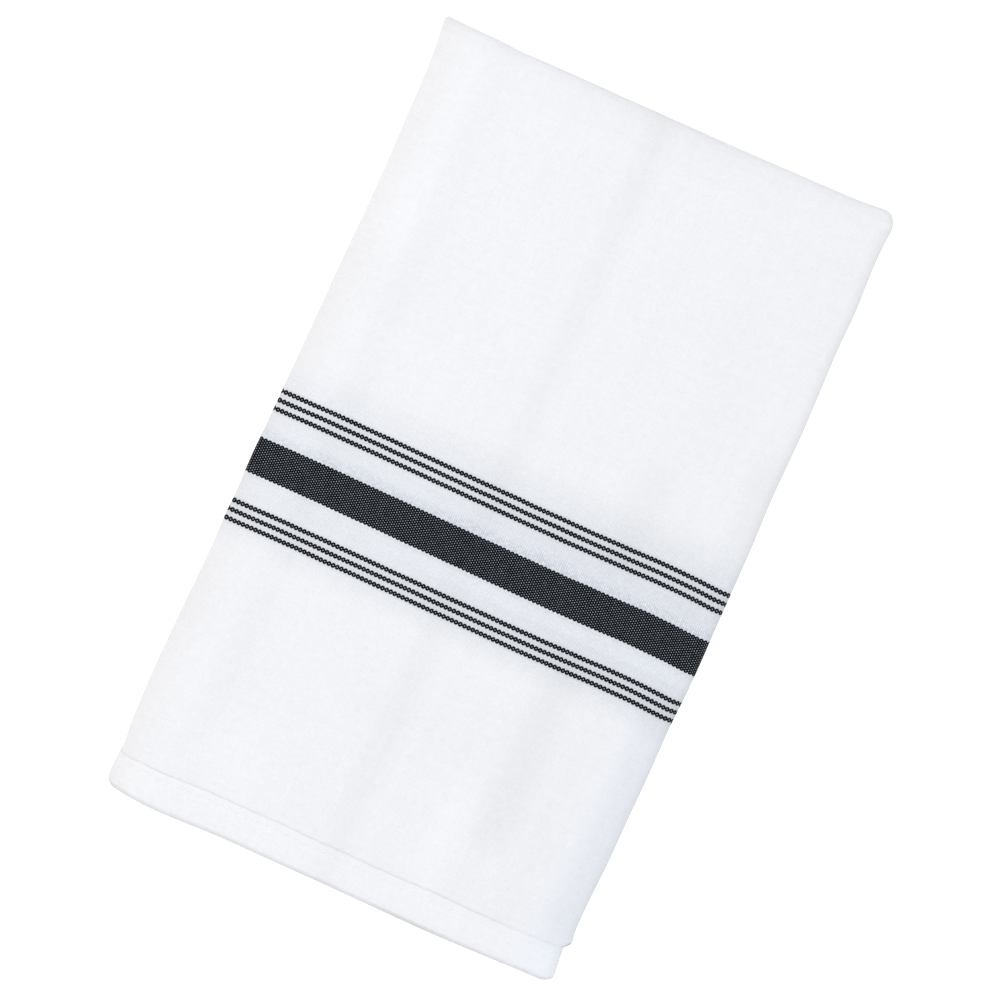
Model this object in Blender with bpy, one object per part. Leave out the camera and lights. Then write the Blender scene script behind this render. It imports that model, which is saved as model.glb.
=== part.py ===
"""A hemmed table napkin, folded in quarters lengthwise and then in half crosswise.

The cloth is one panel. Folded in quarters, its section is four layers, back and forth:

    level 3    ______________________
              (______________________ \\
    level 2     ____________________ \\ |
    level 1     ____________________) | |
    level 0     _____________________/ /

Levels 1 and 0 end in the side hems, on the left. This section is then folded in half about the
X axis, with level 0 inside, which makes eight layers. The upper half lies on the lower half, the
crosswise fold is at +Y and the end hems are at -Y. The underside is flat, at Z = 0, and the
origin is under the middle of the folded outline.
Sizes are in metres. "Up" is the distance from the end hems towards the crosswise fold.
"""
import math

import bmesh
import bpy
import numpy

MM = 0.001

# Driving dimensions
FOLDED_WIDTH = 138.6 * MM       # one quarter of the cloth
FOLDED_LENGTH = 237.9 * MM      # from the end hem to the outside of the crosswise fold
CLOTH = 1.0 * MM                # sheet thickness
HEM_HEIGHT = 10.4 * MM
HEM_EXTRA = 0.3 * MM            # how much thicker a hem is than the cloth
HEM_STEP = 0.6 * MM             # width of the step at a hem's inner edge
GAP = 0.4 * MM                  # air between two layers
END_RAMP = 26 * MM              # the stack thickens over this length towards the end hems
SIDE_RAMP = 12 * MM             # and over this width towards the side hems

# Folds
OUTER_FOLD_STRETCH = 1.6        # depth of the outer side fold, as a share of its radius
CROSS_FOLD_STRETCH = 1.1        # depth of the crosswise fold, as a share of its radius
SIDE_HEM_INSET = 3.2 * MM       # the side hems end short of the fold that covers them
DROOP = 0.8 * MM                # the top layers sink beyond the side hems' edges
DROOP_WIDTH = 4.2 * MM
SHOULDER = 0.4 * MM             # the top sinks towards the outer side fold
SHOULDER_WIDTH = 14 * MM
LOWER_INSET = 0.7 * MM          # the lower half is narrower than the upper, on each side

# The folded outline, in millimetres. "Out" is measured outwards from the nominal edge.
LEFT_OUTLINE = (
    # up, out
    (0, 0.4),
    (6, 0.9),
    (13, 0.4),
    (24, 1.1),
    (36, 1.4),
    (65, 0.5),
    (95, 0.7),
    (125, 0.0),
    (153, -0.5),
    (192, -1.2),
    (222, -0.7),
    (231, -0.2),
    (238, 0.9),
)
RIGHT_OUTLINE = (
    # up, out
    (0, -1.9),
    (7, -1.8),
    (10.5, -1.9),
    (13, -0.7),
    (16, -0.8),
    (23, -1.0),
    (50, -0.1),
    (95, 0.7),
    (125, 0.6),
    (153, 0.4),
    (170, 0.7),
    (192, 0.3),
    (208, 0.5),
    (218, 0.1),
    (232, 0.5),
    (238, -0.3),
)
FOLD_OUTLINE = (
    # across, out
    (-70, 0.8),
    (-60, 0.2),
    (-40, 0.0),
    (0, 0.0),
    (50, 0.0),
    (58, 0.1),
    (63, 0.6),
    (70, 2.1),
)
HEM_OUTLINE = (
    # across, out
    (-70, -1.3),
    (-65, -0.5),
    (-56, 0.3),
    (-48, 0.3),
    (-37, -0.1),
    (-17, 0.0),
    (12, 0.3),
    (40, 0.5),
    (55, 0.2),
    (62, -0.1),
    (67, -0.8),
    (69, -1.7),
)

# How far short of the outline each level's end hem lies, in millimetres
HEM_STAGGER = (
    # level, in the upper half, in the lower half
    (0, 1.3, 1.8),
    (1, 0.7, 2.6),
    (2, 1.1, 2.1),
    (3, 0.0, 2.9),
)

# Soft troughs and ridges along the upper half, in millimetres; a trough's height is negative
CREASES = (
    # across at the hem, across at the fold, height, half width, from up, to up
    (-2, 1, -0.30, 8, -60, 300),
    (36, 41, -0.40, 13, 12, 100),
    (50, 52, -0.25, 14, 110, 205),
    (-44, -42, -0.25, 12, 20, 90),
    (-57, -56, 0.22, 12, 10, 225),
    (24, 22, 0.25, 12, -15, 60),
)

# What follows from the sizes
LEVELS = 4
SIDE_HEM_LEVELS = (0, 1)
HALF_STACK = GAP / 2 + LEVELS * CLOTH + (LEVELS - 1) * GAP
TIGHT_FOLD_DEPTH = CLOTH + GAP / 2
FOLD_AXIS = FOLDED_LENGTH - CROSS_FOLD_STRETCH * HALF_STACK
RAMP_START = HEM_HEIGHT + HEM_STEP
RAMP_ENDS = (RAMP_START, RAMP_START + SIDE_RAMP / 2, RAMP_START + SIDE_RAMP)

# Mesh density: where rows and columns of points lie, and how many fill the rest
EVEN_COLUMNS = 8
TIGHT_FOLD_STEPS = 6
OUTER_FOLD_STEPS = 8
CROSS_FOLD_STEPS = 8
LOWER_STEPS = 5
HEM_ROWS = (0, HEM_HEIGHT / 2, HEM_HEIGHT - HEM_STEP / 2, HEM_HEIGHT + HEM_STEP / 2)
UPPER_ROWS = (13, 20, 30, 46, 64, 84, 104, 124, 144, 164, 184, 204, 221)
LOWER_ROWS = (37, 24, 13)
FREE_END_COLUMNS = HEM_ROWS + RAMP_ENDS[1:]
COVER_SHIFT = SIDE_HEM_INSET - TIGHT_FOLD_DEPTH
COVER_COLUMNS = ((0, DROOP_WIDTH * 0.3, DROOP_WIDTH * 0.6)
                 + tuple(COVER_SHIFT + place for place in RAMP_ENDS))
NAPKIN_WHITE = (0.88, 0.89, 0.90, 1.0)


def smooth(share):
    """Ease from 0 to 1."""
    share = min(1.0, max(0.0, share))
    return share * share * (3 - 2 * share)


def along(table, place):
    """Smooth curve through a table's rows of millimetres, at a place in metres."""
    places = [row[0] * MM for row in table]
    values = [row[1] * MM for row in table]
    slopes = numpy.gradient(values, places)
    place = min(places[-1], max(places[0], place))
    row = min(len(places) - 2, int(numpy.searchsorted(places, place, side="right")) - 1)
    width = places[row + 1] - places[row]
    share = (place - places[row]) / width
    level = values[row] + (values[row + 1] - values[row]) * smooth(share)
    bow = (1 - share) * slopes[row] - share * slopes[row + 1]
    return level + bow * share * (1 - share) * width


def stagger(level, upper):
    """How far short of the outline an end hem lies, also between two levels."""
    levels, in_upper, in_lower = zip(*HEM_STAGGER)
    short_above = numpy.interp(level, levels, in_upper)
    short_below = numpy.interp(level, levels, in_lower)
    return float(short_below + (short_above - short_below) * upper) * MM


def crease_height(x, up):
    """Height of the soft troughs and ridges over a place in the upper half."""
    height = 0.0
    for at_hem, at_fold, rise, half_width, start, end in CREASES:
        centre = (at_hem + (at_fold - at_hem) * up / FOLDED_LENGTH) * MM
        inside = (up / MM - start) / (end - start)
        lengthwise = smooth(3 * inside) * smooth(3 * (1 - inside))
        height += rise * MM * smooth(1 - abs(x - centre) / (half_width * MM)) * lengthwise
    return height


def hem_share(distance):
    """1 in a hem, 0 in the cloth beside it, from the distance to the hem's edge."""
    return min(1.0, max(0.0, (HEM_HEIGHT - distance) / HEM_STEP + 0.5))


def ramp_share(distance, ramp):
    """1 in a hem, easing to 0 over the ramp beside it."""
    return smooth((HEM_HEIGHT + HEM_STEP + ramp - distance) / ramp)


def stack(from_side_hem, up, upper):
    """Each level's middle and thickness, and the half stack's height, from the stack's middle.

    A level has a room that eases from a hem's thickness to the cloth's. The cloth lies against
    the room's inner side in the upper half and against its outer side in the lower half.
    """
    middles = []
    sheets = []
    floor = GAP / 2
    for level in range(LEVELS):
        room_share = ramp_share(up, END_RAMP)
        sheet_share = hem_share(up)
        if level in SIDE_HEM_LEVELS:
            room_share = max(room_share, ramp_share(from_side_hem, SIDE_RAMP))
            sheet_share = max(sheet_share, hem_share(from_side_hem))
        room = CLOTH + HEM_EXTRA * room_share
        sheet = CLOTH + HEM_EXTRA * sheet_share
        middles.append(floor + sheet / 2 + (room - sheet) * (1 - upper))
        sheets.append(sheet)
        floor += room + GAP
    return middles, sheets, floor - GAP


def panel_columns(level, direction):
    """Columns of points over a panel, as (low level, high level, side, share from the left)."""
    near_left = FREE_END_COLUMNS if level in SIDE_HEM_LEVELS else COVER_COLUMNS
    shares = [place / FOLDED_WIDTH for place in near_left]
    last = shares[-1]
    shares += [last + (1 - last) * (step + 1) / EVEN_COLUMNS for step in range(EVEN_COLUMNS)]
    return [(level, level, 0, share) for share in shares[::direction]]


def fold_columns(low, high, side, direction, steps):
    """Columns of points round a fold between two levels; the share runs from low to high."""
    shares = [step / steps for step in range(1, steps)]
    return [(low, high, side, share) for share in shares[::direction]]


def section_columns():
    """All columns of points, in the order in which they lie in the flat cloth."""
    return (panel_columns(1, 1)
            + fold_columns(1, 2, 1, 1, TIGHT_FOLD_STEPS)
            + panel_columns(2, -1)
            + fold_columns(2, 3, -1, 1, TIGHT_FOLD_STEPS)
            + panel_columns(3, 1)
            + fold_columns(0, 3, 1, -1, OUTER_FOLD_STEPS)
            + panel_columns(0, -1))


def run_rows():
    """All rows of points as (up, angle round the crosswise fold), from end hem to end hem."""
    upper = [(up, 0.0) for up in HEM_ROWS] + [(up * MM, 0.0) for up in UPPER_ROWS]
    bend = [(FOLD_AXIS, math.pi * step / CROSS_FOLD_STEPS) for step in range(CROSS_FOLD_STEPS + 1)]
    ramp_top = LOWER_ROWS[0] * MM
    lower = [FOLD_AXIS + (ramp_top - FOLD_AXIS) * step / LOWER_STEPS
             for step in range(1, LOWER_STEPS)]
    lower += [up * MM for up in LOWER_ROWS] + list(HEM_ROWS[::-1])
    return upper + bend + [(up, math.pi) for up in lower]


def section_point(column, left, right, up, upper, face):
    """A point of the section: across, distance from the stack's middle, level, stack's height."""
    low, high, side, share = column
    tight_middles, tight_sheets, _ = stack(0.0, up, upper)
    outer_middles, outer_sheets, _ = stack(FOLDED_WIDTH, up, upper)
    tight_x = left + (tight_middles[3] - tight_middles[2] + tight_sheets[3]) / 2
    outer_radius = (outer_middles[3] - outer_middles[0]) / 2
    outer_x = right - outer_radius * OUTER_FOLD_STRETCH - outer_sheets[3] / 2

    # The cloth's face side is out on levels 3 and 1 and in the folds that end on level 3.
    outwards = face if high in (1, 3) else -face
    if side:
        centre_x = outer_x if side > 0 else tight_x
        middles, sheets, height = stack(centre_x - left - SIDE_HEM_INSET, up, upper)
        radius = (middles[high] - middles[low]) / 2
        stretch = OUTER_FOLD_STRETCH if high - low > 1 else 1.0
        reach = outwards * (sheets[high] + sheets[low]) / 4
        angle = math.pi * (share - 0.5)
        x = centre_x + side * math.cos(angle) * (radius * stretch + reach)
        offset = (middles[high] + middles[low]) / 2 + math.sin(angle) * (radius + reach)
        level = low + (high - low) * (1 + math.sin(angle)) / 2
        return x, offset, level, height

    start = left + SIDE_HEM_INSET if low in SIDE_HEM_LEVELS else tight_x
    x = start + (outer_x - start) * share
    middles, sheets, height = stack(x - left - SIDE_HEM_INSET, up, upper)
    if low in SIDE_HEM_LEVELS:
        sheets[low] = CLOTH + HEM_EXTRA * max(hem_share(up), hem_share(share * FOLDED_WIDTH))
    return x, middles[low] + outwards * sheets[low] / 2, low, height


def folded_point(column, row, face):
    """Place of one point of the cloth, on its face side (+1) or its back (-1)."""
    up, angle = row
    upper = (1 + math.cos(angle)) / 2
    outline_up = up + HALF_STACK * math.sin(angle)
    narrow = LOWER_INSET * (1 - upper)
    left = -FOLDED_WIDTH / 2 - along(LEFT_OUTLINE, outline_up) + narrow
    right = FOLDED_WIDTH / 2 + along(RIGHT_OUTLINE, outline_up) - narrow
    x, offset, level, height = section_point(column, left, right, up, upper, face)

    sunk = SHOULDER * smooth(1 - (right - x) / SHOULDER_WIDTH)
    offset *= 1 + upper * (crease_height(x, up) - sunk) / HALF_STACK
    if level >= 2 and column[:2] != (0, 3):
        offset -= DROOP * upper * smooth(1 - (x - left) / DROOP_WIDTH)

    hem_y = -FOLDED_LENGTH / 2 - along(HEM_OUTLINE, x) + stagger(level, upper)
    axis_y = FOLD_AXIS - FOLDED_LENGTH / 2 + along(FOLD_OUTLINE, x)
    y = hem_y + (axis_y - hem_y) * up / FOLD_AXIS + CROSS_FOLD_STRETCH * offset * math.sin(angle)
    return x, y, height + offset * math.cos(angle)


def folded_cloth(name, material, collection):
    """A flat panel of cloth, cut into columns and rows, and then folded."""
    columns = section_columns()
    rows = run_rows()
    last_column = len(columns) - 1
    last_row = len(rows) - 1
    panel = bmesh.new()
    bmesh.ops.create_grid(panel, x_segments=last_column, y_segments=last_row, size=0.5)
    made = bmesh.ops.extrude_face_region(panel, geom=panel.faces[:])
    for part in made["geom"]:
        if isinstance(part, bmesh.types.BMVert):
            part.co.z = 1.0
    bmesh.ops.recalc_face_normals(panel, faces=panel.faces)
    for vertex in panel.verts:
        column = columns[round((vertex.co.x + 0.5) * last_column)]
        row = rows[round((vertex.co.y + 0.5) * last_row)]
        face = 1 if vertex.co.z > 0.5 else -1
        vertex.co = folded_point(column, row, face)
    middle = [(min(v.co[axis] for v in panel.verts) + max(v.co[axis] for v in panel.verts)) / 2
              for axis in (0, 1)]
    bmesh.ops.translate(panel, vec=(-middle[0], -middle[1], 0.0), verts=panel.verts)
    mesh = bpy.data.meshes.new(name)
    panel.to_mesh(mesh)
    panel.free()
    mesh.materials.append(material)
    mesh.shade_smooth()
    mesh.set_sharp_from_angle(angle=math.radians(50))
    cloth = bpy.data.objects.new(name, mesh)
    collection.objects.link(cloth)
    return cloth


def woven_cotton():
    """Plain white table cotton."""
    material = bpy.data.materials.new("woven_cotton")
    material.use_nodes = True
    shader = material.node_tree.nodes["Principled BSDF"]
    shader.inputs["Base Color"].default_value = NAPKIN_WHITE
    shader.inputs["Roughness"].default_value = 0.9
    shader.inputs["Metallic"].default_value = 0.0
    return material


def main():
    for old in list(bpy.data.objects):
        bpy.data.objects.remove(old, do_unlink=True)
    collection = bpy.data.collections.new("folded_napkin")
    bpy.context.scene.collection.children.link(collection)
    folded_cloth("napkin_cloth", woven_cotton(), collection)


main()
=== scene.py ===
"""A striped cotton table napkin, folded in quarters lengthwise and then in half crosswise.

The cloth is one thin sheet, laid in the folds of its solid, with turned and sewn hems. Its woven
stripes, its weave and its shading are made in its material, in the flat cloth's own directions:
u runs across the flat cloth, along the stripes, and v runs from end hem to end hem, in metres.
"Up" is the distance from the end hems towards the crosswise fold. Levels run from 0, innermost,
to 3, outermost, in each half of the folded napkin, as in the solid.
"""

import math
from types import SimpleNamespace

import bpy
import numpy as np
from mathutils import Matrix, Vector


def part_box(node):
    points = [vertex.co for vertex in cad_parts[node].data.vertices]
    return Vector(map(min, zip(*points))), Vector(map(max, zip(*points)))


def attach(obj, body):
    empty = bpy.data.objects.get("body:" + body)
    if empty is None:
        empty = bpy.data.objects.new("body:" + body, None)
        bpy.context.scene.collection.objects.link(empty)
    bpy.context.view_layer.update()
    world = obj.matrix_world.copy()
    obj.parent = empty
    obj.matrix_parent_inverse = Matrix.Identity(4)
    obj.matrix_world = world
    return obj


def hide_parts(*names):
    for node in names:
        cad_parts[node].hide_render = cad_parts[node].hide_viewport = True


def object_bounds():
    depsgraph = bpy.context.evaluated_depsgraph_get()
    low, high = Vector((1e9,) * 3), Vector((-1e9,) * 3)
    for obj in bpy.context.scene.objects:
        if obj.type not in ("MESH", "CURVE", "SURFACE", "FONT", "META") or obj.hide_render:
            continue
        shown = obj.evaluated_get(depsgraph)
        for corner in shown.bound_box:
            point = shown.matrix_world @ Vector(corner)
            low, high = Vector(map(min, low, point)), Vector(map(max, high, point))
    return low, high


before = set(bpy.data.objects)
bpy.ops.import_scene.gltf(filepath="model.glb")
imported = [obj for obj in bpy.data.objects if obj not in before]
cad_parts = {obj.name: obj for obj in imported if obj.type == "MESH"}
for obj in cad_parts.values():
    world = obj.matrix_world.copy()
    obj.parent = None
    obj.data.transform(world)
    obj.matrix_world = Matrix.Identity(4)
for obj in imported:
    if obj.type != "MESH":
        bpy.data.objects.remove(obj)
cad_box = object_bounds()

MM = 0.001

# The fold, as in the solid
FOLDED_WIDTH = 138.6 * MM
FOLDED_LENGTH = 237.9 * MM
ROOM = 1.0 * MM                 # height that a layer has in the stack
HEM_ROOM = 0.3 * MM             # and how much more it has at a hem
GAP = 0.4 * MM
LEVELS = 4
SIDE_HEM_LEVELS = (0, 1)
HALF_STACK = GAP / 2 + LEVELS * ROOM + (LEVELS - 1) * GAP
OUTER_FOLD_STRETCH = 1.35
CROSS_FOLD_STRETCH = 1.1
FOLD_AXIS = FOLDED_LENGTH - CROSS_FOLD_STRETCH * HALF_STACK
END_RAMP = 26 * MM
SIDE_RAMP = 12 * MM
SIDE_HEM_INSET = 3.2 * MM
DROOP = 0.35 * MM
DROOP_WIDTH = 4.2 * MM
SHOULDER_WIDTH = 14 * MM
LOWER_INSET = 0.7 * MM

# The sheet
CLOTH = 0.66 * MM
HEM_CLOTH = 1.2 * MM            # a hem is three thicknesses, pressed
HEM_HEIGHT = 10.4 * MM
HEM_STEP = 0.4 * MM             # width of the step at a hem's inner edge
NOSE = 0.9 * MM                 # a hem's outer edge is rounded over this width
NOSE_FLAT = 0.25                # share of the thickness left at the very edge
EDGE_DROOP = 0.45 * MM          # the outermost layer's end hem bends down at its edge
EDGE_DROOP_WIDTH = 1.8 * MM
SEAM = 8.5 * MM                 # the sewing's distance from a hem's outer edge
SEAM_DEPTH = 0.05 * MM          # the sewing pulls the cloth in
SEAM_WIDTH = 0.75 * MM
STITCH_PITCH = 3.1 * MM
STITCH_LENGTH = 1.7 * MM
STITCH_LEAN = 1.0 * MM          # a stitch lies aslant, by this much from end to end
STITCH_PRESSED = 0.6            # its height as a share of its width
STITCH_SIDES = 6
STITCH_CLEAR = 0.02 * MM        # the lowest stitches lie this far above the table top
THREAD = 0.36 * MM              # thickness of the sewing thread
THREAD_TWIST = 0.55 * MM        # length of one turn of its twist

# Rings of a stitch: share of its length, height over the cloth, share of the thread's thickness
STITCH_STEPS = np.array([0.0, 0.12, 0.36, 0.64, 0.88, 1.0])
STITCH_BOW = np.array([-0.10, 0.0, 0.06, 0.06, 0.0, -0.10]) * MM
STITCH_GIRTH = np.array([0.15, 0.75, 1.0, 1.0, 0.75, 0.15])

# Small waves
GAP_WAVE = 0.13 * MM            # size of a hidden layer's waves round the middle of its room
GAP_PHASES = (0.4, 2.1, 4.4)    # of each hidden level
SLOW_WAVE = 0.05 * MM           # unevenness of the outermost layer
FINE_WAVE = 0.018 * MM
PUCKER = 0.045 * MM             # and of its end hem, along the sewing
HIDDEN_HEM_WAVES = (
    # period and height in millimetres, phase
    (41, 0.12, 0.5),
    (17, 0.09, 2.0),
    (9, 0.05, 1.0),
)
SEEN_HEM_WAVES = (
    (5.3, 0.05, 1.0),
    (3.1, 0.035, 0.4),
)

# The weave and its stripes
STRIPE_THREAD = 0.378 * MM      # spacing of the threads along the stripes
CROSS_THREAD = 0.64 * MM        # spacing of the threads across them
STRIPE_SWAY = 0.6               # how far each kind wanders from side to side, in threads
CROSS_SWAY = 0.9
FIRST_CROSS_THREAD = 20.0       # its number at the flat cloth's edge
MIDDLE_THREAD = 1000.5          # the broad stripe's middle lies between two threads
STRIPES_UP = 102.94 * MM        # middle of the broad stripe
BROAD_STRIPE = 14               # half width, in threads
THIN_STRIPES = (37.5, 44.5, 51.5)   # distance from the middle, in threads
THIN_STRIPE = 1.3               # half width, in threads
THIN_BOLD = 0.11                # how much thicker its threads are
THIN_REACH = (3.4, 1.6)         # where that starts and is full, in threads from its middle
AMONG_THIN = (11.5, 8.6)        # and the same for the cloth among them, from the middle one
CROWN_SIZE = 0.305              # reach of a white crown between black threads, in threads,
CROWN_SHAPE = (1.95, 1.05)      # divided by these along and across the stripes
CROWN_VARIES = 0.07             # and how much it varies with the slubs of each thread
CROWN_MORE = 0.05               # and how much more it is in the thin stripes
CROWN_EDGE = 0.08               # half width of its soft edge
CROWN_WHITE = (0.61, 0.83)      # how white a crown is, from the darkest to the lightest
MIDDLE_OF_NOISE = (0.3, 0.7)    # where most of a noise's values lie
HIDDEN_SLANT = 0.004            # drift of the stripes across the hidden layers

# Relief of the cloth and of the sewing thread
WEAVE_BUMP = 0.5
WEAVE_DEPTH = 0.12 * MM
THREAD_BUMP = 0.4
THREAD_DEPTH = 0.04 * MM
RELIEF = (
    # what stands up beside the threads' crowns, and its share
    ("slub", 0.3),
    ("cross_slub", 0.2),
    ("mottle", 0.9),
    ("lint", 0.5),
)

# Zones of the white cloth: where each starts and where it is full, up from the broad stripe's
# middle unless another line is named
BAND = BROAD_STRIPE * STRIPE_THREAD  # half width of the broad stripe
DIMMED_BELOW = (-29 * MM, -17 * MM)
DIMMED_ABOVE = (35 * MM, 15 * MM)
BY_BAND = (BAND + 1.75 * MM, BAND + 0.2 * MM)
ABOVE_BAND = (BAND + 4.0 * MM, BAND + 1.6 * MM)
ABOVE_BAND_WAVE = 3 * MM  # how far its upper edge varies
BELOW_BAND_LINE = -BAND - 2.9 * MM
BELOW_BAND = (3.2 * MM, 1.0 * MM)  # from that line
COOL_SHADE_ACROSS = (-17 * MM, 1 * MM)  # painted shade tint, bluer, along the visible panel's right fold edge: from that edge
COOL_SHADE_UP = (165 * MM, 90 * MM)  # from the visible end hem
WARM_SHADE_ACROSS = (9 * MM, 2 * MM)  # painted shade tint, warmer and greyer, along its left fold edge: from that edge
EDGE_SHADE_ZONE = (1.5 * MM, 0.6 * MM)  # painted shade along an end hem's outer edge: from that edge
EDGE_SHADE_BEND = 28 * MM  # where that painted shade is deepest, as the edge bends down most, across from the middle
EDGE_SHADE_BEND_ZONE = (17 * MM, 3 * MM)  # from there
HOLE_ALONG = (0.14, 0.05)  # painted shade in a needle hole: from its middle, in stitches
HOLE_ACROSS = (0.45 * MM, 0.1 * MM)  # from the seam
HEM_SHADE_LINE = HEM_HEIGHT + 0.1 * MM  # the painted shade line at a hem's inner edge, in the groove there
HEM_SHADE_LINE_ZONE = (0.5 * MM, 0.05 * MM)  # from that line
HEM_SHADE_LINE_FADES = (46 * MM, 56 * MM, 1.0, 0.5)  # across from the middle, and its shares there
TUCK_BEYOND = 3.5 * MM  # painted shadow where the hem's end tucks in: from the visible panel's right edge
TUCK_ACROSS = (1.7 * MM, 0.3 * MM)
TUCK_UP = 11.0 * MM  # from the end hem's outer edge
TUCK_ALONG = (1.1 * MM, 0.2 * MM)
VISIBLE_END = (20 * MM, 16 * MM)  # from the visible end hem's outer edge

# Tones, as shares of the colour
THREAD_TONES = (
    # what varies, and by how much in all
    ("slub", 0.035),
    ("cross_slub", 0.022),
    ("stripe_chance", 0.014),
    ("cross_chance", 0.01),
    ("mottle", 0.045),
    ("patch", 0.03),
    ("speckle", 0.02),
)
HOLLOW_SHADE_TONE = -0.10             # painted shade between the threads
AMONG_THIN_TONE = -0.10
DIMMED_LEFT = 0.62              # share of the dimness at the visible panel's left edge
# more painted shade between the threads where the cloth is dimmed
DIMMED_HOLLOW_SHADE = -0.20
DIMMED_SPECKLE = 0.05
DIMMED_THREAD_SHADING = (0.22, 0.5, 0.012, -0.036)     # from a cross thread's middle, and the painted light and shade there
ABOVE_BAND_LEFT = 0.6
ABOVE_BAND_TONE = -0.052
ABOVE_BAND_SPECKLE = 0.10
# painted light on a cross thread's middle and painted shade at its edges
ABOVE_BAND_THREAD_SHADING = (0.2, 0.5, 0.04, -0.08)
BY_BAND_TONE = -0.062
BY_BAND_SPECKLE = 0.08
BELOW_BAND_TONE = 0.045
EDGE_SHADE_TONES = (-0.115, -0.20)    # painted shade at an end hem's outer edge, and where it bends down most
HEM_TONE = 0.022                # a hem is a little lighter
HOLE_SHADE_DEPTH = 0.02               # painted shade: how much darker a needle hole is
HEM_SHADE_LINE_DEPTH = (0.07, 0.115)  # and the painted shade line at a hem's inner edge
TUCK_SHADOW_DEPTH = 0.45               # and the painted shadow where the hem's end tucks in
THREAD_TONE = 0.98              # the sewing thread's own, and what its twist and fuzz add to it
TWIST_TONE = 0.03
FUZZ_TONE = 0.1

LEFT_OUTLINE = (
    # up, out
    (0, 0.1), (0.5, 0.55), (1.2, 0.8), (2.4, 1.0), (4.7, 1.1), (9.5, 0.8), (13.2, 0.65),
    (16, 1.0), (23, 1.3), (36, 1.5), (51, 1.2), (65, 0.8), (74, 0.6), (84, 0.75), (90, 0.5),
    (99, 0.7), (111, 0.45), (125, 0.2), (140, 0.0), (153, -0.15), (167, -0.4), (180, -0.7),
    (193, -0.8), (206, -0.6), (224, -0.3), (231, 0.2), (238, 1.3),
)
RIGHT_OUTLINE = (
    # up, out
    (0, -2.05), (0.5, -1.7), (1.2, -1.52), (2.4, -1.45), (4, -1.6), (5.6, -1.85), (7.2, -1.98),
    (8.8, -2.12), (9.9, -2.22), (10.6, -1.95), (11.3, -1.15), (12.0, -0.62), (12.7, -0.6),
    (13.6, -0.8), (14.8, -0.98), (17, -1.05), (23, -0.95), (36, -0.35), (50, -0.15), (63, 0.1),
    (80, 0.15), (90, 0.6), (104, 0.65), (112, 0.6), (121, 0.65), (136, 0.65), (149, 0.35),
    (156, 0.45), (167, 0.7), (182, 0.55), (193, 0.3), (208, 0.55), (220, 0.1), (228, 0.2),
    (233, 0.55), (238, -0.3),
)
FOLD_OUTLINE = (
    # across, out
    (-70, 0.5), (-68, 0.2), (-60, -0.15), (-51, -0.15), (-43, 0.05), (-20, 0.0), (-8, -0.02),
    (2, 0.05), (12, -0.12), (22, -0.15), (33, -0.05), (44, 0.03), (52, 0.08), (58, 0.25),
    (63, 0.65), (66, 1.0), (69.5, 1.6),
)
HEM_OUTLINE = (
    # across, out
    (-70, -1.5), (-68.8, -1.15), (-67.6, -0.88), (-65.7, -0.55), (-62, -0.1), (-56, 0.3),
    (-50, 0.3), (-37, -0.1), (-17, 0.0), (0, 0.15), (12, 0.3), (35, 0.5), (50, 0.2), (62, 0.0),
    (65, 0.1), (67, 0.15), (69, -0.2),
)
# How far beyond its nominal place the inner edge of the visible end hem lies
HEM_WANDER = (
    # across, beyond
    (-69, -0.8), (-63, -0.15), (-57, 0.02), (-51, 0.26), (-45, 0.39), (-39, 0.19), (-33, 0.1),
    (-27, 0.08), (-21, 0.23), (-15, 0.1), (-9, 0.01), (-3, 0.08), (3, 0.05), (9, 0.02),
    (15, 0.08), (21, 0.25), (27, 0.48), (33, 0.32), (39, 0.09), (45, 0.0), (51, -0.22),
    (57, -0.12), (63, 0.02), (69, 0.25),
)
HEM_STAGGER = (
    # level, in the upper half, in the lower half
    (0, 1.3, 1.8),
    (1, 0.7, 2.6),
    (2, 1.1, 2.1),
    (3, -0.1, 2.9),
)

# Soft troughs and ridges along the upper half, in millimetres; a trough's height is negative
CREASES = (
    # across at the hem, across at the fold, height, half width, from up, to up
    (-2, 1, -0.50, 8, -60, 300),
    (36, 41, -0.65, 13, 12, 100),
    (50, 52, -0.40, 14, 110, 205),
    (-44, -42, -0.45, 12, 20, 90),
    (-57, -56, 0.35, 12, 10, 225),
    (24, 22, 0.45, 12, -15, 60),
)

# How far the top sinks towards the outer side fold
SHOULDER = (
    # up, sunk
    (0, 0.5),
    (60, 0.6),
    (95, 0.5),
    (130, 0.25),
    (238, 0.15),
)

# How far the stripes lie below their nominal line, along u
STRIPE_DRIFT = (
    # across the folded width, down
    (-69, 0.1), (-51, 0.14), (-36, 0.35), (-21, 0.58), (-7, 0.84), (8, 1.07), (22, 1.28),
    (37, 1.29), (52, 1.26), (60, 1.5), (69, 2.05),
)

# Painted shade and light: soft greyer and lighter places of the visible panel, where its folded
# edges, creases and unevenness would shade it
PAINTED_SOFT_SHADING = (
    # across, half width, from up, to up, tone
    (-70, 7, -40, 265, -0.042),
    (-57, 7, 0, 262, 0.010),
    (0, 8, -40, 262, -0.030),
    (38, 10, 22, 92, -0.050),
    (38, 10, 108, 155, -0.030),
    (68, 10, 5, 92, -0.070),
    (68, 9, 120, 168, -0.040),
    (50, 8, 3, 92, -0.014),
    (-62, 14, 40, 100, -0.012),
    (-60, 22, 125, 178, -0.014),
    (-69, 6, -14, 15, -0.035),
    (26, 11, 4, 48, 0.040),
    (0, 48, 222, 270, -0.030),
    (-36, 14, 4, 45, 0.020),
)
TONE_RAMP = 15                  # each eases in and out over this length, in millimetres

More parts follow.
